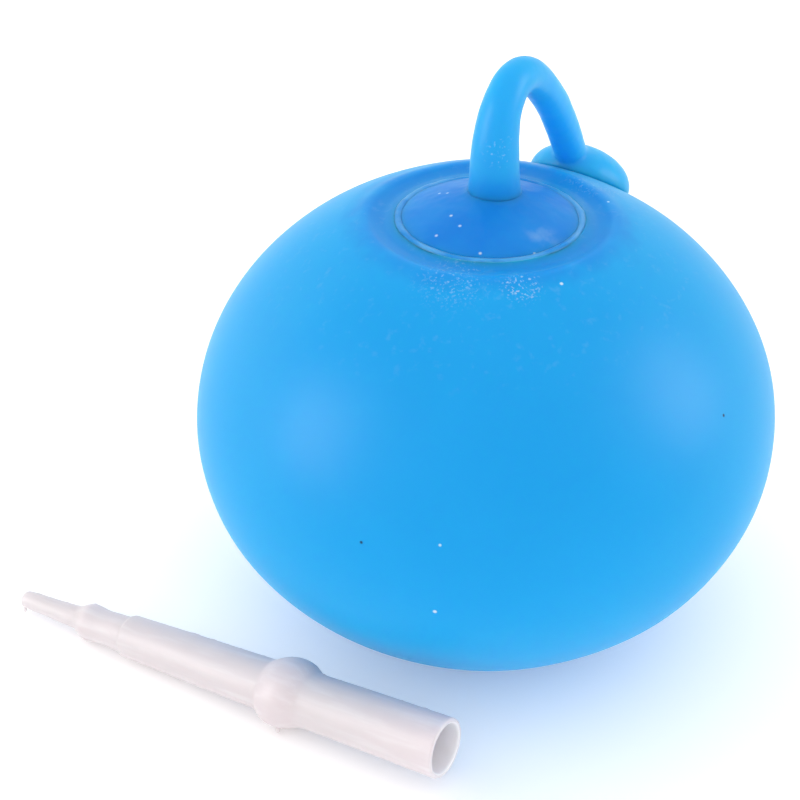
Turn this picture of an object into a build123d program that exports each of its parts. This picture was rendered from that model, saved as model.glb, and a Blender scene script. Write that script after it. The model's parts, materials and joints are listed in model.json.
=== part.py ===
"""Inflatable squeeze ball with a tethered stopper, and its loose inflation nozzle.

The hollow ball sags a little on a flat foot.  A disc bonded into its crown carries a soft tail that
loops over to a stopper, and the stopper plugs the filling port on the ball's shoulder.  Inside the
port are a seat bush and a self-sealing sleeve.  The nozzle lies on the floor beside the ball.

Millimetres, +Z up, origin in the middle of the ball's foot.  The tail and the port lie in the XZ plane.
"""
from build123d import *
from math import asin, atan2, cos, degrees, hypot, radians, sin, sqrt
import os

# Ball
ball_radius = 40.0          # half the greatest width
equator_height = 30.0       # floor to the greatest width
upper_half_height = 34.0    # greatest width to the top of the round crown, before it is dished
foot_radius = 15.1          # flat that the soft ball stands on
wall = 2.6

# Crown disc and its bond
disc_radius = 11.8
disc_thickness = 3.0        # at its edge
disc_rise = 3.2             # dome of its face, edge to middle
disc_recess = 0.25          # disc's face below the flat land around it
bead_width = 0.9            # radial width of the bond bead
bead_rise = 0.35            # bead above the land
pocket_clearance = 0.3      # bead to the wall of its pocket
ledge_width = 2.8           # shelf that carries the disc
ledge_thickness = 2.0
land_width = 4.0            # flat land outside the pocket

# Filling port, square to the ball's skin on its +X shoulder
port_tilt = 38.0            # degrees between the port's axis and +Z
seat_flange_radius = 5.2
seat_flange_thickness = 1.5
seat_tube_radius = 3.7
seat_length = 9.0
seat_bore_radius = 2.3
seat_clearance = 0.3        # bush to the ball
boss_wall = 2.8             # ball material around the bush

# Self-sealing sleeve in the lower end of the bush
sleeve_collar_radius = 3.0
sleeve_collar_length = 2.0
sleeve_bore_radius = 1.7
sleeve_wall = 0.7
lip_length = 5.0
lip_width = 3.4             # across the closed end of the lips
lip_thickness = 1.2
lip_slit = 0.2

# Stopper
head_radius = 7.4
head_rim = 0.6              # straight edge under the dome
dome_height = 3.6
plug_radius = 2.0
plug_tip_radius = 1.35
plug_length = 6.0

# Tail
tail_offset = 1.0           # root beyond the ball's axis, towards the port
root_radius = 3.3
root_flange_radius = 5.0
root_flange_thickness = 1.2
tail_radius = 2.4
leg_height = 10.2           # land to the top of the straight leg
bend_radius = 6.4
bend_turn = 65.0            # degrees of the part that flexes when the stopper is pulled
crest_turn = 66.0           # degrees more, over the top
join_inset = 1.2            # tail's centreline inside the head's edge
join_height = 2.6           # tail's centreline above the head's underside
join_run = 2.0              # straight end that runs into the head
skin_clearance = 0.4        # tail to the head's underside plane

# Nozzle, measured from the end of its spout
spout_radius = 1.5
spout_length = 9.2
spout_bore_radius = 0.9
edge_round = 0.4
shoulder_radius = 2.6
shoulder_length = 2.5       # spout to the fullest part of the shoulder
waist_radius = 2.45
waist_length = 2.6          # shoulder to waist
tip_end_radius = 2.6
tip_length = 19.0           # whole visible tip
spigot_length = 4.0         # tip's end pushed into the barrel
socket_radius = 2.4
tip_bore_radius = 1.7
barrel_front_radius = 3.0
barrel_collar_radius = 3.6  # barrel where it meets the collar
collar_start = 43.4
collar_length = 5.2
collar_radius = 5.0
collar_round = 2.3
rear_front_radius = 3.78
rear_end_radius = 4.05
nozzle_length = 70.5
throat_radius = 2.9         # barrel's bore under the collar
mouth_bore_radius = 3.3
mouth_bore_length = 16.0
nozzle_gap = 0.0            # nozzle's axis outside the ball's widest line
nozzle_tip_y = 52.8         # end of the spout beyond the port's plane

# Places worked out from those sizes
lower_half_height = equator_height / sqrt(1 - (foot_radius / ball_radius) ** 2)
pocket_radius = disc_radius + bead_width + pocket_clearance
land_radius = pocket_radius + land_width
land_z = equator_height + upper_half_height * sqrt(1 - (land_radius / ball_radius) ** 2)
pocket_floor_z = land_z - disc_recess - disc_thickness
disc_edge_z = pocket_floor_z + disc_thickness
disc_crest_z = disc_edge_z + disc_rise
leg_top_z = land_z + leg_height

skin_reach = hypot(ball_radius * sin(radians(port_tilt)), upper_half_height * cos(radians(port_tilt)))
port_x = ball_radius**2 * sin(radians(port_tilt)) / skin_reach
port_z = equator_height + upper_half_height**2 * cos(radians(port_tilt)) / skin_reach
port = Plane(
    origin=(port_x, 0, port_z),
    x_dir=(cos(radians(port_tilt)), 0, -sin(radians(port_tilt))),
    z_dir=(sin(radians(port_tilt)), 0, cos(radians(port_tilt))),
)


def disc(radius, bottom, top):
    """A cylinder about Z between two heights."""
    return Pos(0, 0, (bottom + top) / 2) * Cylinder(radius, top - bottom)


def domed_disc(radius, bottom, edge, rise):
    """A disc with a spherical face that climbs from its edge height to the middle."""
    sphere_radius = (radius**2 + rise**2) / (2 * rise)
    top = edge + rise
    return disc(radius, bottom, top) & Pos(0, 0, top - sphere_radius) * Sphere(sphere_radius)


def turned(outline):
    """Revolve an outline of curves, given as (radius, height), about Z."""
    return revolve(Plane.XZ * make_face(outline), Axis.Z)


def turned_points(points):
    """Revolve a straight-sided outline about Z."""
    return turned(Polyline(*points, close=True))


def sagging_ball(inset, bottom, top):
    """The ball's oblate form, thinner all round by the inset and cut flat at both ends."""
    centre = (0, equator_height)
    radius = ball_radius - inset
    above = upper_half_height - inset
    below = lower_half_height - inset
    upper = EllipticalCenterArc(centre, radius, above, start_angle=0, arc_size=90)
    lower = EllipticalCenterArc(centre, radius, below, start_angle=-90, arc_size=90)
    axis = Line((0, equator_height + above), (0, equator_height - below))
    return turned(Curve() + [lower, upper, axis]) & disc(2 * ball_radius, bottom, top)


def ball_shell():
    outside = sagging_ball(0, 0, land_z)
    inside = sagging_ball(wall, wall, pocket_floor_z - ledge_thickness)
    boss_radius = seat_tube_radius + seat_clearance + boss_wall
    cavity = inside - port * disc(boss_radius, -seat_length, ball_radius)
    shell = outside - cavity
    shell -= disc(pocket_radius, pocket_floor_z, land_z + 1)
    shell -= disc(disc_radius - ledge_width, 0.5 * land_z, land_z)
    flange_hole = disc(seat_flange_radius + seat_clearance, -seat_flange_thickness, seat_flange_thickness)
    tube_hole = disc(seat_tube_radius + seat_clearance, -seat_length - 1, 0)
    return shell - port * (flange_hole + tube_hole)


def crown_disc():
    """Plate with a domed face, and a hole for the tail's root."""
    body = domed_disc(disc_radius, pocket_floor_z, disc_edge_z, disc_rise)
    return body - Pos(tail_offset, 0, 0) * disc(root_radius, pocket_floor_z - 1, disc_crest_z + 1)


def crown_bond_ring():
    """Bead with a half-round top, standing on the pocket's floor round the disc."""
    outer = disc_radius + bead_width
    top = land_z + bead_rise - bead_width / 2
    foot = Line((disc_radius, pocket_floor_z), (outer, pocket_floor_z))
    outside = Line(foot @ 1, (outer, top))
    crest = ThreePointArc(outside @ 1, ((disc_radius + outer) / 2, top + bead_width / 2), (disc_radius, top))
    inside = Line(crest @ 1, foot @ 0)
    return turned(Curve() + [foot, outside, crest, inside])


def port_seat():
    bush = disc(seat_flange_radius, -seat_flange_thickness, 0)
    bush += disc(seat_tube_radius, -seat_length, 0)
    bush -= disc(seat_bore_radius, -seat_length - 1, 1)
    bush -= disc(sleeve_collar_radius, -seat_length - 1, -seat_length + sleeve_collar_length)
    return port * bush


def valve_sleeve():
    """Collar in the end of the bush, and two lips that close to a flat edge below it."""
    collar = disc(sleeve_collar_radius, -seat_length, -seat_length + sleeve_collar_length)
    root = Plane((0, 0, -seat_length)) * Circle(sleeve_bore_radius + sleeve_wall)
    edge = Plane((0, 0, -seat_length - lip_length)) * Rectangle(lip_width, lip_thickness)
    lips = loft([edge, root])
    bore = disc(sleeve_bore_radius, -seat_length - 1, 0)
    slit = Pos(0, 0, -seat_length - lip_length) * Box(0.6 * lip_width, lip_slit, 2 * lip_length)
    return port * (collar + lips - bore - slit)


def stopper():
    """Domed head with a tapered plug under it, drawn on the port's axis."""
    head = domed_disc(head_radius, 0, head_rim, dome_height)
    plug = Pos(0, 0, -plug_length / 2) * Cone(plug_tip_radius, plug_radius, plug_length)
    return port * (head + plug)


def tail_leg():
    """Flanged root below the disc, a shank through it, and a tapering leg above."""
    under = pocket_floor_z - root_flange_thickness
    root = disc(root_flange_radius, under, pocket_floor_z)
    shank = disc(root_radius, under, disc_crest_z)
    taper = Pos(0, 0, (disc_crest_z + leg_top_z) / 2) * Cone(root_radius, tail_radius, leg_top_z - disc_crest_z)
    return Pos(tail_offset, 0, 0) * (root + shank + taper)


def tail_lines():
    """Centrelines, in the XZ plane, of the bend and of the loop from there to the stopper."""
    bend = JernArc((tail_offset, leg_top_z), (0, 1), bend_radius, -bend_turn)
    crest = JernArc(bend @ 1, bend % 1, bend_radius, -crest_turn)
    join = port.from_local_coords((join_inset - head_radius, 0, join_height))
    fall = TangentArc(crest @ 1, (join.X, join.Z), tangent=crest % 1)
    run_in = Line(fall @ 1, fall @ 1 + (fall % 1) * join_run)
    return Plane.XZ * bend, Plane.XZ * (Curve() + [crest, fall, run_in])


def tube(line):
    return sweep(Plane(origin=line @ 0, z_dir=line % 0) * Circle(tail_radius), path=line)


def tail_bend():
    return tube(tail_lines()[0])


def tail_loop():
    """The rest of the tail, trimmed where it meets the head and clear of the ball's skin."""
    loop = tube(Wire(tail_lines()[1].edges()))
    below = port * Pos(0, 0, skin_clearance - head_radius) * Box(4 * head_radius, 4 * head_radius, 2 * head_radius)
    return loop - stopper() - below


def nozzle_tip():
    """Thin spout, round shoulder and waist, with a spigot that pushes into the barrel."""
    shoulder_t = spout_length + shoulder_length
    waist_t = shoulder_t + waist_length
    spigot_end = tip_length + spigot_length
    along = [(0, 1), (0, 1)]
    flare = Spline((spout_radius, spout_length), (shoulder_radius, shoulder_t), tangents=along)
    neck = Spline((shoulder_radius, shoulder_t), (waist_radius, waist_t), tangents=along)
    walls = Polyline(
        neck @ 1,
        (tip_end_radius, tip_length),
        (socket_radius, tip_length),
        (socket_radius, spigot_end),
        (tip_bore_radius, spigot_end),
        (tip_bore_radius, shoulder_t),
        (spout_bore_radius, spout_length),
        (spout_bore_radius, 0),
        (spout_radius - edge_round, 0),
    )
    nose = ThreePointArc(
        walls @ 1,
        (spout_radius - edge_round * (1 - cos(radians(45))), edge_round * (1 - sin(radians(45)))),
        (spout_radius, edge_round),
    )
    return turned(Curve() + [flare, neck, walls, nose, Line(nose @ 1, flare @ 0)])


def nozzle_barrel():
    """Long tapering barrel, thick round collar and the wider rear tube with its open mouth."""
    collar_end = collar_start + collar_length
    mouth_bore_start = nozzle_length - mouth_bore_length
    body = turned_points([
        (0, tip_length),
        (barrel_front_radius, tip_length),
        (barrel_collar_radius, collar_start + collar_round),
        (rear_front_radius, collar_end - collar_round),
        (rear_end_radius, nozzle_length),
        (0, nozzle_length),
    ])
    ring = fillet(disc(collar_radius, collar_start, collar_end).edges(), collar_round)
    bore = turned_points([
        (0, tip_length),
        (socket_radius, tip_length),
        (socket_radius, tip_length + spigot_length),
        (throat_radius, collar_start),
        (mouth_bore_radius, mouth_bore_start),
        (mouth_bore_radius, nozzle_length),
        (0, nozzle_length),
    ])
    return body + ring - bore


def nozzle_place():
    """The nozzle lies on its collar and on the shoulder of its tip, spout towards +Y."""
    shoulder_t = spout_length + shoulder_length
    reach = collar_start + collar_round - shoulder_t
    rise = collar_radius - collar_round - shoulder_radius
    tilt = asin(collar_round / hypot(reach, rise)) + atan2(rise, reach)
    spout_height = shoulder_radius * cos(tilt) - shoulder_t * sin(tilt)
    spout_end = Pos(-ball_radius - nozzle_gap, nozzle_tip_y, spout_height)
    return spout_end * Rot(90 - degrees(tilt), 0, 0)


def main():
    os.makedirs("parts", exist_ok=True)
    lying = nozzle_place()
    nodes = {
        "ball_shell": ball_shell(),
        "crown_disc": crown_disc(),
        "crown_bond_ring": crown_bond_ring(),
        "port_seat": port_seat(),
        "valve_sleeve": valve_sleeve(),
        "stopper": stopper(),
        "tail_leg": tail_leg(),
        "tail_bend": tail_bend(),
        "tail_loop": tail_loop(),
        "nozzle_tip": lying * nozzle_tip(),
        "nozzle_barrel": lying * nozzle_barrel(),
    }
    for name, shape in nodes.items():
        export_step(shape, f"parts/{name}.step")


main()
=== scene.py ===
"""Looks of the inflatable squeeze ball, its tethered stopper and its nozzle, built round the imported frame.

Outlines are in millimetres, as (radius, height) or (x, z) pairs.  Meshes are scaled to metres as they are
made.  Each mesh keeps its own millimetres in the attribute rest_mm, and the materials are placed by that.
"""
import json
import math

import bpy
import numpy as np
from mathutils import Matrix, Vector, noise


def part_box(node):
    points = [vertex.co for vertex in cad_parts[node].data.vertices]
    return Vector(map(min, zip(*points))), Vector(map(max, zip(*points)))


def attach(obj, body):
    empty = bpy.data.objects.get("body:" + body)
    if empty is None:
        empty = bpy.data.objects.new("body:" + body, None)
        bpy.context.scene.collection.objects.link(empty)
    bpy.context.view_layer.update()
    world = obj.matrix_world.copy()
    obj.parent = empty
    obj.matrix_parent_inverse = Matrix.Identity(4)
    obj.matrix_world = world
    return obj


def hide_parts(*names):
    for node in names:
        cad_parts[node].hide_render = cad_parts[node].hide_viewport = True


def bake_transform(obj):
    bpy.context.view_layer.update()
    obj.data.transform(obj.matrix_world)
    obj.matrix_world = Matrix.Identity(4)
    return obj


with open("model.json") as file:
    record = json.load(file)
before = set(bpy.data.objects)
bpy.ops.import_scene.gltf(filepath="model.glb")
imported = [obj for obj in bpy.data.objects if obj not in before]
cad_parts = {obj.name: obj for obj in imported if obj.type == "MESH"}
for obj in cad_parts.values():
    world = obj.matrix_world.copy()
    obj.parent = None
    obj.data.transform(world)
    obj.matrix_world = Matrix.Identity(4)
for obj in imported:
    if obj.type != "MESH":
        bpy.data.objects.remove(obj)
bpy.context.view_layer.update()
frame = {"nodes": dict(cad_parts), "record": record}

MM = 0.001

# Driving sizes, millimetres, read from the frame where its boxes hold them
_, shell_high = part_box("ball_shell")
disc_low, disc_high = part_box("crown_disc")
_, ring_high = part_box("crown_bond_ring")
BALL = shell_high.x / MM                    # greatest radius
LAND = shell_high.z / MM                    # flat land round the crown disc
EQUATOR = 30.0                              # floor to the greatest width
UPPER = 34.0                                # equator to the undished crown
FOOT = 15.1                                 # radius of the flat foot
WALL = 2.6
DISC = (disc_high.x - disc_low.x) / 2 / MM
DISC_FLOOR = disc_low.z / MM
DISC_EDGE = DISC_FLOOR + 3.0                # top of the disc at its rim
DISC_RISE = 3.2                             # dome of its face
BEAD_OUTER = ring_high.x / MM
LEDGE = 2.8                                 # width of the shelf under the disc
CEILING = DISC_FLOOR - 2.0                  # underside of that shelf
PORT_TILT = math.radians(38)
PORT_HOLE = 3.8
TAIL_X = 1.0                                # tail's root beyond the ball's axis

# The nozzle, measured from the end of its spout
TIP_END = 19.0
SPIGOT = 4.0
NOZZLE_LENGTH = 70.5
SPOUT_ROUND = 0.4
COLLAR_MIDDLE = 46.2
COLLAR_LEAN = 0.13                          # the collar sits a little out of square
SPOUT_SHIFT = Vector((0.7, 0.5, 0.3))       # and the spout lies a little nearer the ball than the mouth
PARTING_SIDE = Vector((-0.57, 0, -0.82))    # where the mould's halves met
FIN_SPREAD = 0.09                           # half width of the mould fin, as a share of the radius

# Studio, millimetres and degrees
AZIMUTH = -59.07
ELEVATION = 32.4
CAMERA_AIM = Vector((-1.6, 12.8, 28.8))
CAMERA_DISTANCE = 280.0
CAMERA_LENS = 88.5
FLOOR_HALF = 2500
FLOOR_GLOW = 0.16                           # the table is lit a little from below
WORLD_STRENGTH = 1.12

# Places worked out from those sizes
LOWER = EQUATOR / math.sqrt(1 - (FOOT / BALL) ** 2)
SKIN_REACH = math.hypot(BALL * math.sin(PORT_TILT), UPPER * math.cos(PORT_TILT))
PORT = Vector((
    BALL**2 * math.sin(PORT_TILT) / SKIN_REACH,
    0,
    EQUATOR + UPPER**2 * math.cos(PORT_TILT) / SKIN_REACH,
))
PORT_FRAME = Matrix.Translation(PORT) @ Matrix.Rotation(PORT_TILT, 4, "Y")


# ---------------------------------------------------------------- meshes

def make_piece(name, points, faces, place=Matrix.Identity(4)):
    """A smooth mesh from points in millimetres.  The attribute rest_mm keeps them for the materials."""
    mesh = bpy.data.meshes.new(name)
    mesh.from_pydata([tuple(place @ Vector(p) * MM) for p in points], [], faces)
    mesh.update()
    keep_rest(mesh, points)
    mesh.shade_smooth()
    piece = bpy.data.objects.new(name, mesh)
    bpy.context.scene.collection.objects.link(piece)
    return piece


def keep_rest(mesh, points):
    rest = mesh.attributes.get("rest_mm") or mesh.attributes.new("rest_mm", "FLOAT_VECTOR", "POINT")
    rest.data.foreach_set("vector", np.array(points, np.float32).ravel())


def rest_from_mesh(mesh):
    """Keeps a mesh's own points, in millimetres, as its rest_mm."""
    keep_rest(mesh, [v.co / MM for v in mesh.vertices])


def lathe(outline, segments, closed=False, warp=None):
    """Points and faces of an outline turned about Z.  An open outline starts and ends on the axis."""
    rings = outline if closed else outline[1:-1]
    turns = [2 * math.pi * i / segments for i in range(segments)]
    points = [Vector((r * math.cos(a), r * math.sin(a), z)) for r, z in rings for a in turns]
    pairs = [(i, i + 1) for i in range(len(rings) - 1)]
    if closed:
        pairs.append((len(rings) - 1, 0))
    faces = []
    for low, high in pairs:
        for i in range(segments):
            j = (i + 1) % segments
            faces.append((low * segments + i, low * segments + j, high * segments + j, high * segments + i))
    if not closed:
        first = len(points)
        points += [Vector((0, 0, outline[0][1])), Vector((0, 0, outline[-1][1]))]
        last_ring = (len(rings) - 1) * segments
        for i in range(segments):
            j = (i + 1) % segments
            faces.append((first, j, i))
            faces.append((first + 1, last_ring + i, last_ring + j))
    if warp:
        points = [p + warp(p) for p in points]
    return points, faces


def curve_through(points, steps):
    """A smooth line through chosen points, each with any number of values."""
    padded = [np.array(p, float) for p in (points[0], *points, points[-1])]
    line = []
    for a, b, c, d in zip(padded, padded[1:], padded[2:], padded[3:]):
        for i in range(steps):
            t = i / steps
            slope = (c - a) * t
            bend = (2 * a - 5 * b + 4 * c - d) * t**2
            twist = (3 * b - a - 3 * c + d) * t**3
            line.append(tuple(0.5 * (2 * b + slope + bend + twist)))
    return line + [tuple(padded[-1])]


def arc(centre, radii, start, end, steps):
    """Points on an ellipse between two angles in degrees."""
    turns = [math.radians(start + (end - start) * i / steps) for i in range(steps + 1)]
    return [(centre[0] + radii[0] * math.cos(a), centre[1] + radii[1] * math.sin(a)) for a in turns]


def bezier(a, b, c, steps):
    """A quadratic curve from a to c, drawn towards b."""
    line = []
    for i in range(steps + 1):
        t = i / steps
        line.append(tuple((1 - t) ** 2 * p + 2 * t * (1 - t) * q + t**2 * r for p, q, r in zip(a, b, c)))
    return line


def straight(a, b, steps):
    """Evenly spaced points from a to b, both included."""
    return [tuple(p + (q - p) * i / steps for p, q in zip(a, b)) for i in range(steps + 1)]


def apply_modifiers(piece):
    """Bakes a piece's modifiers into its mesh."""
    evaluated = piece.evaluated_get(bpy.context.evaluated_depsgraph_get())
    made = bpy.data.meshes.new_from_object(evaluated)
    old = piece.data
    piece.modifiers.clear()
    piece.data = made
    bpy.data.meshes.remove(old)
    made.name = piece.name
    made.shade_smooth()


# ---------------------------------------------------------------- ball

def soft_unevenness(p, height, size):
    """A low swell along a point's own direction, as a hand-finished soft moulding has."""
    return p.normalized() * height * noise.noise(p / size)


def ball_outline():
    """From the middle of the foot, round the outside, into the disc's pocket and back along the inside."""
    toe_start = 12.3                            # radius where the foot starts to round up
    toe = math.radians(27.0)                    # round the lower half, where the foot's curve ends
    toe_end = (BALL * math.sin(toe), EQUATOR - LOWER * math.cos(toe))
    slope = LOWER * math.sin(toe) / (BALL * math.cos(toe))
    toe_corner = (toe_end[0] - toe_end[1] / slope, 0)
    brow = 19.6                                 # radius where the round crown starts to dish
    brow_turn = math.degrees(math.acos(brow / BALL))
    brow_z = EQUATOR + UPPER * math.sin(math.radians(brow_turn))
    pocket = BEAD_OUTER - 0.1
    crown = [
        (brow, brow_z),
        (18.3, LAND - 0.62),
        (17.1, LAND - 0.14),
        (16.2, LAND - 0.08),
        (15.3, LAND - 0.34),
        (14.2, LAND - 0.50),
        (13.3, LAND - 0.32),
        (pocket, LAND - 0.14),
    ]
    inner_radius = BALL - WALL
    inner_up = UPPER - WALL
    inner_down = LOWER - WALL
    ceiling_turn = math.degrees(math.asin((CEILING - EQUATOR) / inner_up))
    floor_turn = math.degrees(math.asin((WALL - EQUATOR) / inner_down))
    floor_edge = 0.5 * inner_radius * math.cos(math.radians(floor_turn))
    hole = DISC - LEDGE
    outline = straight((0, 0), (toe_start, 0), 8)
    outline += bezier((toe_start, 0), toe_corner, toe_end, 8)[1:]
    outline += arc((0, EQUATOR), (BALL, LOWER), math.degrees(toe) - 90, 0, 48)[1:]
    outline += arc((0, EQUATOR), (BALL, UPPER), 0, brow_turn, 56)[1:]
    outline += curve_through(crown, 5)[1:]
    outline += straight((pocket, LAND - 0.3), (pocket, DISC_FLOOR), 3)
    outline += straight((hole, DISC_FLOOR), (hole, CEILING), 2)
    outline += arc((0, EQUATOR), (inner_radius, inner_up), ceiling_turn, 0, 24)
    outline += arc((0, EQUATOR), (inner_radius, inner_down), 0, floor_turn, 24)[1:]
    outline += straight((floor_edge, WALL), (0, WALL), 2)
    return outline


def ball_warp(p):
    """No swell on the foot, so that the ball still stands flat."""
    swell_height, swell_size = 0.16, 17.0
    lift = min(1.0, max(0.0, (p.z - 1.0) / 6.0))
    centre = Vector((0, 0, EQUATOR))
    return soft_unevenness(p - centre, swell_height * lift, swell_size)


def cutter(radius, low, high, place):
    """A plain round bar to cut a hole with."""
    points, faces = lathe([(0, low), (radius, low), (radius, high), (0, high)], 64)
    piece = make_piece("cutter", points, faces, place)
    piece.hide_render = True
    return piece


def cut(piece, tool):
    """Takes a tool's volume out of a piece, and removes the tool."""
    boolean = piece.modifiers.new("cut", "BOOLEAN")
    boolean.operation = "DIFFERENCE"
    boolean.solver = "EXACT"
    boolean.object = tool
    apply_modifiers(piece)
    bpy.data.objects.remove(tool)
    rest_from_mesh(piece.data)


def make_ball():
    """The hollow ball, with the hole for the port's bush."""
    points, faces = lathe(ball_outline(), 224, warp=ball_warp)
    ball = make_piece("ball_skin", points, faces)
    cut(ball, cutter(PORT_HOLE, -8, 4, PORT_FRAME))
    ball.data.materials.append(jelly_skin())
    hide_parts("ball_shell")
    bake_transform(ball)


# ---------------------------------------------------------------- crown

def membrane_warp(p):
    """The disc's face domes towards the middle, and climbs a little up the tail's root."""
    if p.z < DISC_EDGE - 0.8:
        return Vector((0, 0, 0))
    radius = math.hypot(p.x, p.y)
    dome = DISC_RISE * (1 - min(1.0, radius / DISC) ** 2) + 0.12
    off_tail = max(0.0, math.hypot(p.x - TAIL_X, p.y) - 3.5)
    climb = 0.55 * math.exp(-off_tail / 0.8)
    ripple = 0.07 * noise.noise(p / 3.2) + 0.05 * noise.noise(p / 1.1)
    return Vector((0, 0, dome + climb + ripple))


def make_membrane():
    """The crown's disc, down to the ledge that it is bonded on."""
    outline = straight((0, DISC_FLOOR), (DISC - 0.1, DISC_FLOOR), 2)
    outline += straight((DISC, DISC_FLOOR + 0.2), (DISC, DISC_EDGE - 0.3), 2)
    outline += bezier((DISC, DISC_EDGE - 0.25), (DISC, DISC_EDGE), (DISC - 0.4, DISC_EDGE - 0.02), 3)
    outline += straight((DISC - 0.8, DISC_EDGE), (0, DISC_EDGE), 44)
    points, faces = lathe(outline, 160, warp=membrane_warp)
    membrane = make_piece("crown_membrane", points, faces)
    membrane.data.materials.append(jelly_disc())
    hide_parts("crown_disc")
    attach(membrane, "crown")


def make_bead():
    """The uneven bead of bond round the disc."""
    half_width = (BEAD_OUTER - DISC) / 2 + 0.12
    middle = (BEAD_OUTER + DISC) / 2 - 0.2
    section = arc((middle, LAND - 0.24), (half_width, 0.34), 0, 345, 15)

    def uneven(p):
        angle = Vector((p.x, p.y, 0)).normalized()
        swell = 0.16 * noise.noise(angle * 2.1) + 0.06 * noise.noise(angle * 9.0)
        return angle * (0.6 * swell) + Vector((0, 0, swell - 0.08))

    points, faces = lathe(section, 224, closed=True, warp=uneven)
    bead = make_piece("bond_bead", points, faces)
    bead.data.materials.append(bond())
    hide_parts("crown_bond_ring")
    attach(bead, "crown")


# ---------------------------------------------------------------- tail and stopper

def tube_along(line, segments=40):
    """A round tube in the XZ plane, closed at both ends, from (x, z, diameter) along a line."""
    points, faces = [], []
    for i, (x, z, diameter) in enumerate(line):
        before = line[max(0, i - 1)]
        after = line[min(len(line) - 1, i + 1)]
        along = Vector((after[0] - before[0], 0, after[1] - before[1])).normalized()
        outward = Vector((along.z, 0, -along.x))
        for k in range(segments):
            a = 2 * math.pi * k / segments
            reach = outward * math.cos(a) + Vector((0, 1, 0)) * math.sin(a)
            points.append(Vector((x, 0, z)) + reach * diameter / 2)
    for i in range(len(line) - 1):
        for k in range(segments):
            n = (k + 1) % segments
            faces.append((i * segments + k, (i + 1) * segments + k, (i + 1) * segments + n, i * segments + n))
    faces.append(tuple(range(segments)))
    faces.append(tuple((len(line) - 1) * segments + k for k in reversed(range(segments))))
    return points, faces


def tail_line():
    """Centreline and width of the tail from under the disc, over the crest and into the stopper's head."""
    chosen = [
        (1.0, 56.4, 6.9),
        (1.05, 61.8, 7.4),
        (1.05, 63.2, 7.55),
        (1.05, 64.0, 7.1),
        (1.0, 65.6, 6.75),
        (0.95, 68.0, 6.45),
        (1.15, 71.3, 6.1),
        (2.25, 75.0, 5.4),
        (5.0, 77.5, 5.05),
        (8.5, 77.6, 4.9),
        (12.3, 75.2, 4.75),
        (16.7, 70.8, 4.7),
        (20.4, 65.7, 4.65),
        (22.9, 61.6, 4.6),
        (24.5, 59.0, 4.5),
    ]
    return curve_through(chosen, 9)


def stopper_outline():
    """Mushroom head and tapered plug, from the plug's end to the top of the dome."""
    outline = [(0, -6.0), (1.0, -6.0), (1.35, -5.6), (1.95, -0.3)]
    outline += bezier((2.1, 0.05), (3.4, 0.1), (6.2, -0.7), 6)
    outline += bezier((6.4, -0.8), (7.3, -1.05), (7.35, -0.2), 5)
    outline += arc((0, -0.2), (7.35, 4.8), 4, 90, 22)
    return outline


def join_softly(piece):
    """Makes overlapping shells into one skin with rounded joins."""
    remesh = piece.modifiers.new("one skin", "REMESH")
    remesh.mode = "VOXEL"
    remesh.voxel_size = 0.28 * MM
    smooth = piece.modifiers.new("soft joins", "SMOOTH")
    smooth.factor = 0.5
    smooth.iterations = 8
    apply_modifiers(piece)


def make_tail():
    """The tail and its stopper, moulded in one."""
    tube_points, tube_faces = tube_along(tail_line())
    head_points, head_faces = lathe(stopper_outline(), 96)
    head_points = [PORT_FRAME @ p for p in head_points]
    offset = len(tube_points)
    head_faces = [tuple(i + offset for i in f) for f in head_faces]
    tail = make_piece("tail_and_stopper", tube_points + head_points, tube_faces + head_faces)
    join_softly(tail)
    outward = [v.normal.copy() for v in tail.data.vertices]
    for v, normal in zip(tail.data.vertices, outward):
        p = v.co / MM
        v.co += normal * MM * (0.05 * noise.noise(p / 2.6) + 0.02 * noise.noise(p / 0.9))
    rest_from_mesh(tail.data)
    tail.data.materials.append(jelly_tail())
    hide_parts("tail_leg", "tail_bend", "tail_loop", "stopper")
    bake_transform(tail)


# ---------------------------------------------------------------- nozzle

def mount(name):
    """The frame's own record of a mount."""
    return next(m for m in frame["record"]["mounts"] if m["name"] == name)


def nozzle_frame():
    """Local +Z runs from the end of the spout to the open mouth, and local X points to the parting line."""
    spout = mount("nozzle_spout")
    outward = Vector(spout["axis"]).normalized()
    half = spout["dims"]["length_mm"] / 2
    start = Vector(spout["pos_m"]) / MM + outward * (half + SPOUT_ROUND) + SPOUT_SHIFT
    mouth = mount("nozzle_mouth")
    end = Vector(mouth["pos_m"]) / MM - outward * mouth["dims"]["length_mm"] / 2
    along = (end - start).normalized()
    parting = (PARTING_SIDE - along * PARTING_SIDE.dot(along)).normalized()
    side = along.cross(parting)
    turn = Matrix((parting, side, along)).transposed().to_4x4()
    return Matrix.Translation(start) @ turn


def flash(p, height, seed):
    """A thin ragged fin of plastic, here and there, where the mould's halves met."""
    radius = math.hypot(p.x, p.y)
    if radius < 1e-6:
        return Vector((0, 0, 0))
    off = abs(p.y) / radius
    if off > FIN_SPREAD:
        return Vector((0, 0, 0))
    swell = noise.noise(Vector((seed, 0, p.z / 1.6)))
    teeth = 0.7 * noise.noise(Vector((seed, 3, p.z / 0.5)))
    ragged = max(0.0, 0.05 + swell + teeth)
    outward = Vector((p.x, p.y, 0)) / radius
    return outward * height * ragged * (1 - off / FIN_SPREAD)


def outside_test(outside):
    """A test for points on the outer outline, so that the fin grows on the outside alone."""
    heights = [z for _, z in outside]
    radii = [r for r, _ in outside]
    return lambda p: math.hypot(p.x, p.y) > np.interp(p.z, heights, radii) - 0.12


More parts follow.
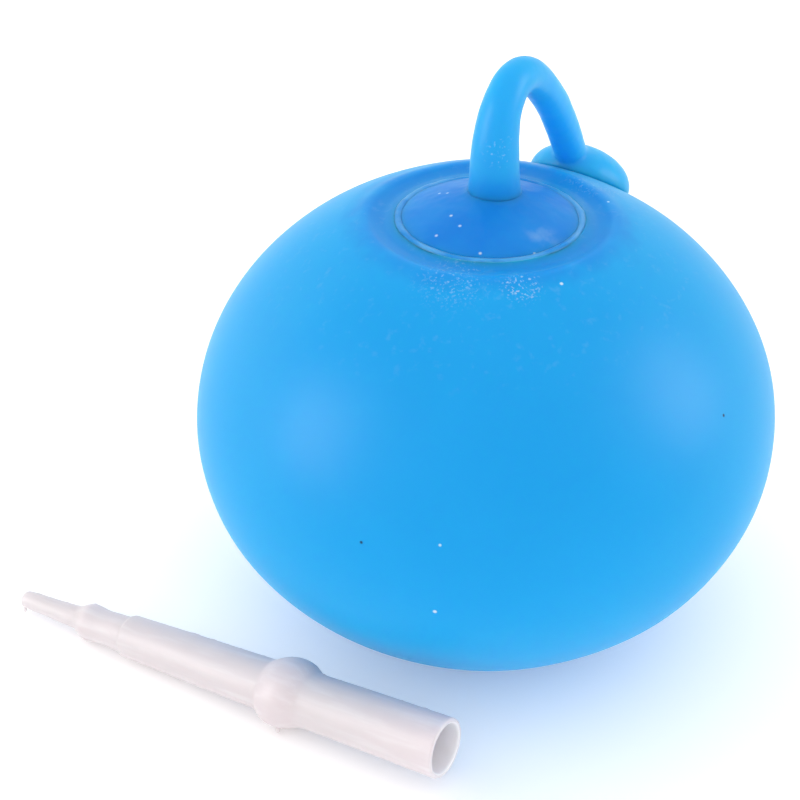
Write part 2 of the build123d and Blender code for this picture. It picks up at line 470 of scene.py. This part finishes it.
def nozzle_skin(name, outside, inside, fin, seed, place):
    """One turned piece of the nozzle, from its outer and inner outlines, with its mould fin."""
    on_outside = outside_test(outside)

    def warp(p):
        wobble = 0.03 * noise.noise(Vector((p.x, p.y, p.z / 3)) / 1.5)
        radius = max(1e-6, math.hypot(p.x, p.y))
        moved = Vector((p.x, p.y, 0)) / radius * wobble
        moved.z = -COLLAR_LEAN * p.x * math.exp(-((p.z - COLLAR_MIDDLE) / 3.4) ** 4)
        if not on_outside(p):
            return Vector((moved.x, moved.y, 0))
        return moved + flash(p, fin, seed)

    points, faces = lathe(outside + inside, 240, closed=True, warp=warp)
    piece = make_piece(name, points, faces, place)
    piece.data.materials.append(milky_plastic())
    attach(piece, "nozzle")
    return piece


def dense(points, step=0.35):
    """Adds points along straight stretches, so that the fin's ragged edge has room."""
    line = [points[0]]
    for a, b in zip(points, points[1:]):
        count = max(1, int(math.dist(a, b) / step))
        line += straight(a, b, count)[1:]
    return line


def make_spout(place):
    """Thin spout, rounded shoulder and waist, with the spigot that goes into the barrel."""
    shape = [(1.22, 0.3), (1.28, 1.0), (1.42, 5.0), (1.62, 9.2), (1.85, 10.3), (2.3, 11.2), (2.6, 12.0)]
    shape += [(2.58, 13.0), (2.42, 14.5), (2.48, 16.5), (2.58, TIP_END + 0.1)]
    outside = [(0.95, 0.05), (1.1, 0.08)] + dense(curve_through(shape, 5))
    outside += [(2.35, TIP_END + 0.3), (2.35, TIP_END + SPIGOT)]
    inside = [(1.7, TIP_END + SPIGOT), (1.7, 11.8), (0.92, 9.0), (0.9, 0.3)]
    spout = nozzle_skin("nozzle_spout", outside, inside, 0.16, 1.0, place)
    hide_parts("nozzle_tip")


def make_nozzle_body(place):
    """Tapered barrel, round collar and wider rear tube with its open mouth."""
    bore = mount("nozzle_mouth")["dims"]["r_mm"]
    bore_depth = mount("nozzle_mouth")["dims"]["length_mm"]
    collar = [(3.57, 42.2), (3.7, 43.0), (4.2, 43.7), (4.68, 44.7), (4.88, 45.7), (4.9, 46.6), (4.68, 47.7)]
    collar += [(4.25, 48.7), (3.86, 49.7), (3.78, 51.2)]
    end = NOZZLE_LENGTH

    outside = [(2.62, TIP_END), (2.86, TIP_END + 0.05), (3.0, TIP_END + 0.35)]
    outside += dense([(3.02, TIP_END + 0.6), collar[0]])
    outside += dense(curve_through(collar, 5))[1:]
    outside += dense([(3.8, 51.6), (4.04, end - 0.7)])
    outside += bezier((4.05, end - 0.4), (4.04, end), (3.72, end), 4)
    inside = bezier((3.6, end), (bore, end), (bore, end - 0.4), 3)
    inside += straight((bore, end - 2), (bore, end - bore_depth), 6)
    inside += straight((2.9, 43.4), (2.4, TIP_END + SPIGOT), 6)
    inside += [(2.4, TIP_END + 0.1)]
    body = nozzle_skin("nozzle_body", outside, inside, 0.2, 5.0, place)
    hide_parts("nozzle_barrel")


def make_nozzle():
    place = nozzle_frame()
    make_spout(place)
    make_nozzle_body(place)
    nub("collar_gate_nub", Vector((4.95, 0.3, 45.8)), 0.5, place)
    nub("spout_gate_nub", Vector((1.35, 0.1, 0.3)), 0.38, place)


def nub(name, at, size, place):
    """The torn stub left where the plastic ran in."""
    shape = [(0, -0.8), (0.9, -0.7), (0.62, 0.2), (0.66, 0.9), (0.5, 1.4), (0.2, 1.55), (0, 1.5)]
    outline = [(radius * size, height * size) for radius, height in shape]

    def torn(p):
        return Vector((1, 1, 0.6)) * 0.22 * size * noise.noise(p / (0.7 * size))

    points, faces = lathe(outline, 20, warp=torn)
    outward = Matrix.Rotation(math.radians(90), 4, "Y")
    piece = make_piece(name, points, faces, place @ Matrix.Translation(at) @ outward)
    piece.modifiers.new("round", "SUBSURF").levels = 2
    apply_modifiers(piece)
    piece.data.materials.append(milky_plastic())
    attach(piece, "nozzle")


# ---------------------------------------------------------------- materials

# Base colours, linear
SHELL_DEEP = (0.003, 0.335, 0.73, 1)
SHELL_PALE = (0.007, 0.375, 0.78, 1)
SHELL_CROWN = (0.004, 0.235, 0.67, 1)
DARK_SPOT = (0.004, 0.03, 0.10, 1)
DISC_DEEP = (0.002, 0.205, 0.66, 1)
DISC_PALE = (0.005, 0.24, 0.68, 1)
BOND_DEEP = (0.004, 0.235, 0.66, 1)
BOND_PALE = (0.075, 0.34, 0.74, 1)
TAIL_DEEP = (0.010, 0.355, 0.71, 1)
TAIL_PALE = (0.022, 0.395, 0.74, 1)
# painted shade for the low part of the tail's leg, near the disc
TAIL_ROOT_SHADE = (0.003, 0.245, 0.68, 1)
# painted light for the tail's shaded far limb, standing for light through the jelly
TAIL_FAR_PAINTED_LIGHT = (0.018, 0.41, 0.83, 1)
PORT_DEEP = (0.004, 0.20, 0.57, 1)
PORT_PALE = (0.01, 0.25, 0.63, 1)
DUST = (0.55, 0.70, 0.82, 1)
PLASTIC_DEEP = (0.755, 0.667, 0.682, 1)
PLASTIC_PALE = (0.80, 0.712, 0.727, 1)
PLASTIC_STREAK = (0.88, 0.82, 0.835, 1)
# painted light for the inside of the mouth
PLASTIC_BORE_PAINTED_LIGHT = (0.97, 0.90, 0.915, 1)
FLOOR_DEEP = (0.95, 0.95, 0.95, 1)
FLOOR_PALE = (0.97, 0.97, 0.97, 1)
WHITE = (1, 1, 1, 1)

# Specks and smears of powder, where they lie on the piece
SKIN_STRAY = (((-36.9, -14.0, 35.8), 0.28), ((-37.2, -13.6, 25.7), 0.34), ((-10.2, -15.8, 60.0), 0.3))
SKIN_DARK = ((-9.2, -13.0, 61.2), (-39.5, -4.3, 34.2), (-3.9, -36.4, 43.8))
SKIN_CLUSTER = (-13.6, -12.0, 60.2)
SKIN_TRAIL = (-16.6, -4.0, 60.3)
SKIN_FAR_TRAIL = (17.0, -7.5, 60.2)
DISC_STRAY = (
    (-1.0, 7.1, 62.7),
    (-1.1, 5.8, 63.0),
    (-6.1, 2.4, 62.8),
    (-7.5, 0.3, 62.5),
    (-9.7, 2.5, 61.5),
    (-10.2, -4.2, 61.0),
    (-6.2, -9.9, 60.8),
)
DISC_SMUDGE = (-3.0, -9.2, 61.2)
TAIL_RUB = (-1.5, -2.0, 71.0)


def new_material(name):
    """A material, its nodes and its surface shader."""
    material = bpy.data.materials.new(name)
    material.use_nodes = True
    return material, material.node_tree, material.node_tree.nodes["Principled BSDF"]


def put(tree, socket, value):
    """Links a socket to another, or sets it to a plain value."""
    if isinstance(value, bpy.types.NodeSocket):
        tree.links.new(value, socket)
    else:
        socket.default_value = value


def add(tree, kind, inputs=(), **settings):
    """A shader node with its settings, and its inputs by name or number."""
    made = tree.nodes.new("ShaderNode" + kind)
    for name, value in settings.items():
        setattr(made, name, value)
    for key, value in dict(inputs).items():
        put(tree, made.inputs[key], value)
    return made


def maths(tree, operation, *values):
    return add(tree, "Math", dict(enumerate(values)), operation=operation).outputs[0]


def times(tree, a, b):
    return maths(tree, "MULTIPLY", a, b)


def most(tree, a, b):
    return maths(tree, "MAXIMUM", a, b)


def parts(tree, where):
    """The X, Y and Z of a place."""
    return add(tree, "SeparateXYZ", {0: where}).outputs


def from_z_axis(tree, where):
    x, y, _ = parts(tree, where)
    flat = add(tree, "CombineXYZ", {0: x, 1: y}).outputs[0]
    return add(tree, "VectorMath", {0: flat}, operation="LENGTH").outputs["Value"]


def mapped(tree, value, low, high, to_low=0.0, to_high=1.0):
    """A value eased from one range to another."""
    inputs = {0: value, 1: low, 2: high, 3: to_low, 4: to_high}
    return add(tree, "MapRange", inputs, interpolation_type="SMOOTHSTEP").outputs[0]


def mixed(tree, share, a, b):
    """Colour a, turning to colour b as the share goes from 0 to 1."""
    made = add(tree, "Mix", {0: share}, data_type="RGBA")
    put(tree, made.inputs[6], a)
    put(tree, made.inputs[7], b)
    return made.outputs[2]


def clouds(tree, where, scale, detail=3.0):
    return add(tree, "TexNoise", {"Vector": where, "Scale": scale, "Detail": detail}).outputs["Fac"]


def rest_place(tree):
    """Where a point lies on the piece at rest, in millimetres."""
    return add(tree, "Attribute", attribute_name="rest_mm").outputs["Vector"]


def specks(tree, where, per_mm, rarity, size):
    """Small round dots: one cell in a few holds one, and their sizes differ."""
    cells = add(tree, "TexVoronoi", {"Vector": where, "Scale": per_mm})
    chance = add(tree, "SeparateColor", {0: cells.outputs["Color"]}).outputs[0]
    reach = mapped(tree, chance, rarity, 1.0, 0.0, size)
    return mapped(tree, cells.outputs["Distance"], reach, times(tree, reach, 0.6))


def patch(tree, where, centre, inner, outer):
    """1 within the inner distance of a point on the piece, fading to 0 at the outer one."""
    away = add(tree, "VectorMath", {0: where, 1: centre}, operation="DISTANCE").outputs["Value"]
    return mapped(tree, away, outer, inner)


def set_surface(surface, values):
    for name, value in values.items():
        surface.inputs[name].default_value = value


def set_jelly(surface, scatter):
    """Soft translucent elastomer, through which light scatters this many millimetres."""
    set_surface(surface, {
        "IOR": 1.46,
        "Subsurface Weight": 1.0,
        "Subsurface Radius": (0.22, 0.75, 1.0),
        "Subsurface Scale": scatter * MM,
        "Specular IOR Level": 0.16,
        "Sheen Weight": 0.06,
        "Sheen Roughness": 0.32,
        "Sheen Tint": (0.78, 0.80, 1.0, 1.0),
    })


def relief(tree, surface, where, powder, fine):
    """Faint orange-peel, broader flow marks, and dust that stands on the surface."""
    peel = clouds(tree, where, 2.2, 4.0)
    flow = clouds(tree, where, 0.35, 2.0)
    height = maths(tree, "MULTIPLY_ADD", peel, fine, times(tree, flow, 0.35))
    height = maths(tree, "MULTIPLY_ADD", powder, 0.9, height)
    bump = add(tree, "Bump", {"Strength": 0.35, "Distance": 0.05 * MM, "Height": height})
    tree.links.new(bump.outputs[0], surface.inputs["Normal"])


def finish_jelly(tree, surface, where, colour, powder, gloss, fine):
    """Dust over the colour, dull where it lies, and the surface's relief."""
    dusty = mixed(tree, powder, colour, DUST)
    tree.links.new(dusty, surface.inputs["Base Color"])
    tree.links.new(mapped(tree, powder, 0.0, 1.0, gloss, 0.85), surface.inputs["Roughness"])
    relief(tree, surface, where, powder, fine)


def skin_powder(tree, where, high):
    """A cluster and smears of powder near the disc, stray grains, and a faint haze over the crown."""
    grain = mapped(tree, clouds(tree, where, 2.8, 7.0), 0.53, 0.68, 0.0, 0.75)
    cluster = times(tree, grain, patch(tree, where, SKIN_CLUSTER, 0.8, 3.4))
    trail = patch(tree, where, SKIN_TRAIL, 1.0, 6.5)
    far_trail = patch(tree, where, SKIN_FAR_TRAIL, 1.0, 6.0)
    smears = times(tree, grain, times(tree, most(tree, trail, far_trail), 0.4))
    rarity = maths(tree, "MULTIPLY_ADD", high, -0.07, 0.995)
    dots = specks(tree, where, 0.42, rarity, 0.13)
    powder = most(tree, most(tree, cluster, smears), dots)
    for spot, size in SKIN_STRAY:
        powder = most(tree, powder, patch(tree, where, spot, 0.5 * size, size))
    haze = times(tree, mapped(tree, clouds(tree, where, 0.8, 6.0), 0.56, 0.78), 0.06)
    return most(tree, powder, times(tree, haze, high))


def jelly_skin():
    """The ball: azure, darker round the crown, with powder left from the mould."""
    material, tree, surface = new_material("jelly_skin")
    where = rest_place(tree)
    set_jelly(surface, 2.6)
    high = mapped(tree, parts(tree, where)[2], 50.0, 56.0)
    ragged = maths(tree, "MULTIPLY_ADD", clouds(tree, where, 0.28, 4.0), 5.0, from_z_axis(tree, where))
    crown = times(tree, mapped(tree, ragged, 23.5, 17.0), high)
    colour = mixed(tree, clouds(tree, where, 0.05), SHELL_DEEP, SHELL_PALE)
    colour = mixed(tree, times(tree, crown, 0.85), colour, SHELL_CROWN)
    for spot in SKIN_DARK:
        colour = mixed(tree, patch(tree, where, spot, 0.12, 0.3), colour, DARK_SPOT)
    powder = skin_powder(tree, where, high)
    finish_jelly(tree, surface, where, colour, powder, 0.42, 0.3)
    return material


def jelly_disc():
    """The crown's disc: deeper blue, with a few grains and one smudge."""
    material, tree, surface = new_material("jelly_disc")
    where = rest_place(tree)
    set_jelly(surface, 2.4)
    patchy = mapped(tree, clouds(tree, where, 0.11), 0.35, 0.65)
    colour = mixed(tree, patchy, DISC_DEEP, DISC_PALE)
    grain = mapped(tree, clouds(tree, where, 0.45, 4.0), 0.35, 0.75)
    smudge = times(tree, grain, patch(tree, where, DISC_SMUDGE, 0.5, 3.4))
    dots = specks(tree, where, 0.40, 0.90, 0.10)
    powder = most(tree, dots, times(tree, smudge, 0.22))
    for spot in DISC_STRAY:
        powder = most(tree, powder, times(tree, patch(tree, where, spot, 0.08, 0.30), 0.8))
    finish_jelly(tree, surface, where, colour, powder, 0.45, 0.4)
    return material


def bond():
    """The bead round the disc, paler in places."""
    material, tree, surface = new_material("bond")
    where = rest_place(tree)
    set_jelly(surface, 1.2)
    patchy = mapped(tree, clouds(tree, where, 0.16, 4.0), 0.38, 0.66)
    colour = mixed(tree, patchy, BOND_DEEP, BOND_PALE)
    powder = specks(tree, where, 0.9, 0.93, 0.2)
    finish_jelly(tree, surface, where, colour, powder, 0.3, 0.5)
    return material


def jelly_tail():
    """The tail and stopper: painted shade makes it as deep as the disc at the root, and painted light makes
    it lightest on the far limb, where it comes down to the head.
    """
    material, tree, surface = new_material("jelly_tail")
    where = rest_place(tree)
    set_jelly(surface, 4.5)
    x, _, z = parts(tree, where)
    colour = mixed(tree, clouds(tree, where, 0.12), TAIL_DEEP, TAIL_PALE)
    # Painted shade: the leg is darkened low down, where it rises from the disc
    root = times(tree, mapped(tree, z, 68.6, 64.0), mapped(tree, x, 9.0, 7.0))
    colour = mixed(tree, times(tree, root, 0.95), colour, TAIL_ROOT_SHADE)
    # Painted light: the shaded far limb is lightened towards the head
    colour = mixed(tree, mapped(tree, x, 10.0, 15.0, 0.0, 0.6), colour, TAIL_FAR_PAINTED_LIGHT)
    grain = mapped(tree, clouds(tree, where, 2.2, 6.0), 0.58, 0.70)
    rub = times(tree, grain, patch(tree, where, TAIL_RUB, 0.6, 3.0))
    dots = specks(tree, where, 0.5, 0.95, 0.13)
    powder = most(tree, dots, times(tree, rub, 0.3))
    finish_jelly(tree, surface, where, colour, powder, 0.38, 0.3)
    return material


def port_jelly():
    """For the bush and sleeve inside the port, which keep their own solid shapes."""
    material, tree, surface = new_material("port_jelly")
    metres = add(tree, "TexCoord").outputs["Object"]
    where = add(tree, "VectorMath", {0: metres, 3: 1 / MM}, operation="SCALE").outputs[0]
    set_jelly(surface, 1.6)
    colour = mixed(tree, clouds(tree, where, 0.3), PORT_DEEP, PORT_PALE)
    powder = specks(tree, where, 0.8, 0.94, 0.16)
    finish_jelly(tree, surface, where, colour, powder, 0.36, 0.4)
    return material


def milky_plastic():
    """Cloudy polyethylene, with faint flow streaks along the nozzle and a bore painted paler, as painted
    light inside the mouth.
    """
    known = bpy.data.materials.get("milky_plastic")
    if known:
        return known
    material, tree, surface = new_material("milky_plastic")
    set_surface(surface, {
        "IOR": 1.5,
        "Subsurface Weight": 0.7,
        "Subsurface Radius": (1.0, 0.9, 0.94),
        "Subsurface Scale": 1.5 * MM,
        "Transmission Weight": 0.12,
    })
    where = rest_place(tree)
    stretched = add(tree, "Mapping", {"Vector": where, "Scale": (1.0, 1.0, 0.12)}).outputs[0]
    streaks = clouds(tree, stretched, 0.9, 4.0)
    colour = mixed(tree, clouds(tree, where, 0.14), PLASTIC_DEEP, PLASTIC_PALE)
    colour = mixed(tree, mapped(tree, streaks, 0.45, 0.75, 0.0, 0.5), colour, PLASTIC_STREAK)
    # Painted light: the rear bore is lightened where the mouth's inside lies in shade
    inside = mapped(tree, from_z_axis(tree, where), 3.62, 3.45)
    rear = mapped(tree, parts(tree, where)[2], 52.0, 54.0)
    colour = mixed(tree, times(tree, inside, rear), colour, PLASTIC_BORE_PAINTED_LIGHT)
    tree.links.new(colour, surface.inputs["Base Color"])
    tree.links.new(mapped(tree, streaks, 0.3, 0.7, 0.44, 0.56), surface.inputs["Roughness"])
    height = maths(tree, "MULTIPLY_ADD", clouds(tree, where, 3.0, 4.0), 0.4, streaks)
    bump = add(tree, "Bump", {"Strength": 0.3, "Distance": 0.06 * MM, "Height": height})
    tree.links.new(bump.outputs[0], surface.inputs["Normal"])
    return material


def pale_floor():
    """Plain pale table, which glows very slightly."""
    material, tree, surface = new_material("pale_floor")
    where = add(tree, "TexCoord").outputs["Object"]
    colour = mixed(tree, clouds(tree, where, 6.0), FLOOR_DEEP, FLOOR_PALE)
    tree.links.new(colour, surface.inputs["Base Color"])
    set_surface(surface, {"Roughness": 0.7, "Emission Color": WHITE, "Emission Strength": FLOOR_GLOW})
    return material


# ---------------------------------------------------------------- port

def make_port():
    """The bush and sleeve inside the port are shown as the frame has them."""
    material = port_jelly()
    for node in ("port_seat", "valve_sleeve"):
        mesh = frame["nodes"][node].data
        mesh.materials.clear()
        mesh.materials.append(material)


# ---------------------------------------------------------------- studio

def make_floor():
    signs = ((-1, -1), (1, -1), (1, 1), (-1, 1))
    points = [(x * FLOOR_HALF, y * FLOOR_HALF, 0) for x, y in signs]
    floor = make_piece("floor", points, [(0, 1, 2, 3)])
    floor.data.materials.append(pale_floor())


def camera_axes():
    """Right, up and back of the camera, which would look along +Y at azimuth 0."""
    a = math.radians(AZIMUTH)
    e = math.radians(ELEVATION)
    back = Vector((math.sin(a) * math.cos(e), -math.cos(a) * math.cos(e), math.sin(e)))
    right = Vector((math.cos(a), math.sin(a), 0))
    return right, back.cross(right), back


def make_camera():
    _, _, back = camera_axes()
    camera = bpy.data.objects.new("camera", bpy.data.cameras.new("camera"))
    bpy.context.scene.collection.objects.link(camera)
    camera.data.sensor_width = 36
    camera.data.lens = CAMERA_LENS
    camera.data.clip_start = 0.01
    camera.location = (CAMERA_AIM + back * CAMERA_DISTANCE) * MM
    camera.rotation_mode = "QUATERNION"
    camera.rotation_quaternion = (-back).to_track_quat("-Z", "Y")
    bpy.context.scene.camera = camera


def softbox(name, direction, distance, size, power, sheen_only=False):
    """A soft lamp aimed at the ball.  A sheen_only one gives a highlight and no other light."""
    lamp = bpy.data.lights.new(name, "AREA")
    lamp.shape = "RECTANGLE"
    lamp.size, lamp.size_y = size
    lamp.energy = power
    light = bpy.data.objects.new(name, lamp)
    bpy.context.scene.collection.objects.link(light)
    centre = Vector((0, 0, EQUATOR)) * MM
    light.location = centre + direction.normalized() * distance
    light.rotation_mode = "QUATERNION"
    light.rotation_quaternion = (-direction).to_track_quat("-Z", "Y")
    light.visible_diffuse = not sheen_only


def make_studio():
    """A white room, two highlights low on the ball's sides, and soft light from above and from the left."""
    right, up, back = camera_axes()
    softbox("left_softbox", -0.90 * right + 0.10 * up + 0.40 * back, 0.7, (0.34, 0.42), 4.2, True)
    softbox("right_softbox", 0.92 * right + 0.30 * up + 0.24 * back, 0.7, (0.30, 0.42), 3.6, True)
    softbox("overhead", Vector((0, 0, 1)), 0.9, (0.9, 0.9), 0.25)
    softbox("left_fill", -0.80 * right + 0.45 * up - 0.20 * back, 0.9, (0.6, 0.6), 0.8)
    world = bpy.data.worlds.new("studio")
    world.use_nodes = True
    sky = world.node_tree.nodes["Background"]
    sky.inputs["Color"].default_value = WHITE
    sky.inputs["Strength"].default_value = WORLD_STRENGTH
    bpy.context.scene.world = world
    bpy.context.scene.view_settings.view_transform = "Standard"


make_ball()
make_membrane()
make_bead()
make_tail()
make_nozzle()
make_port()
make_floor()
make_camera()
make_studio()
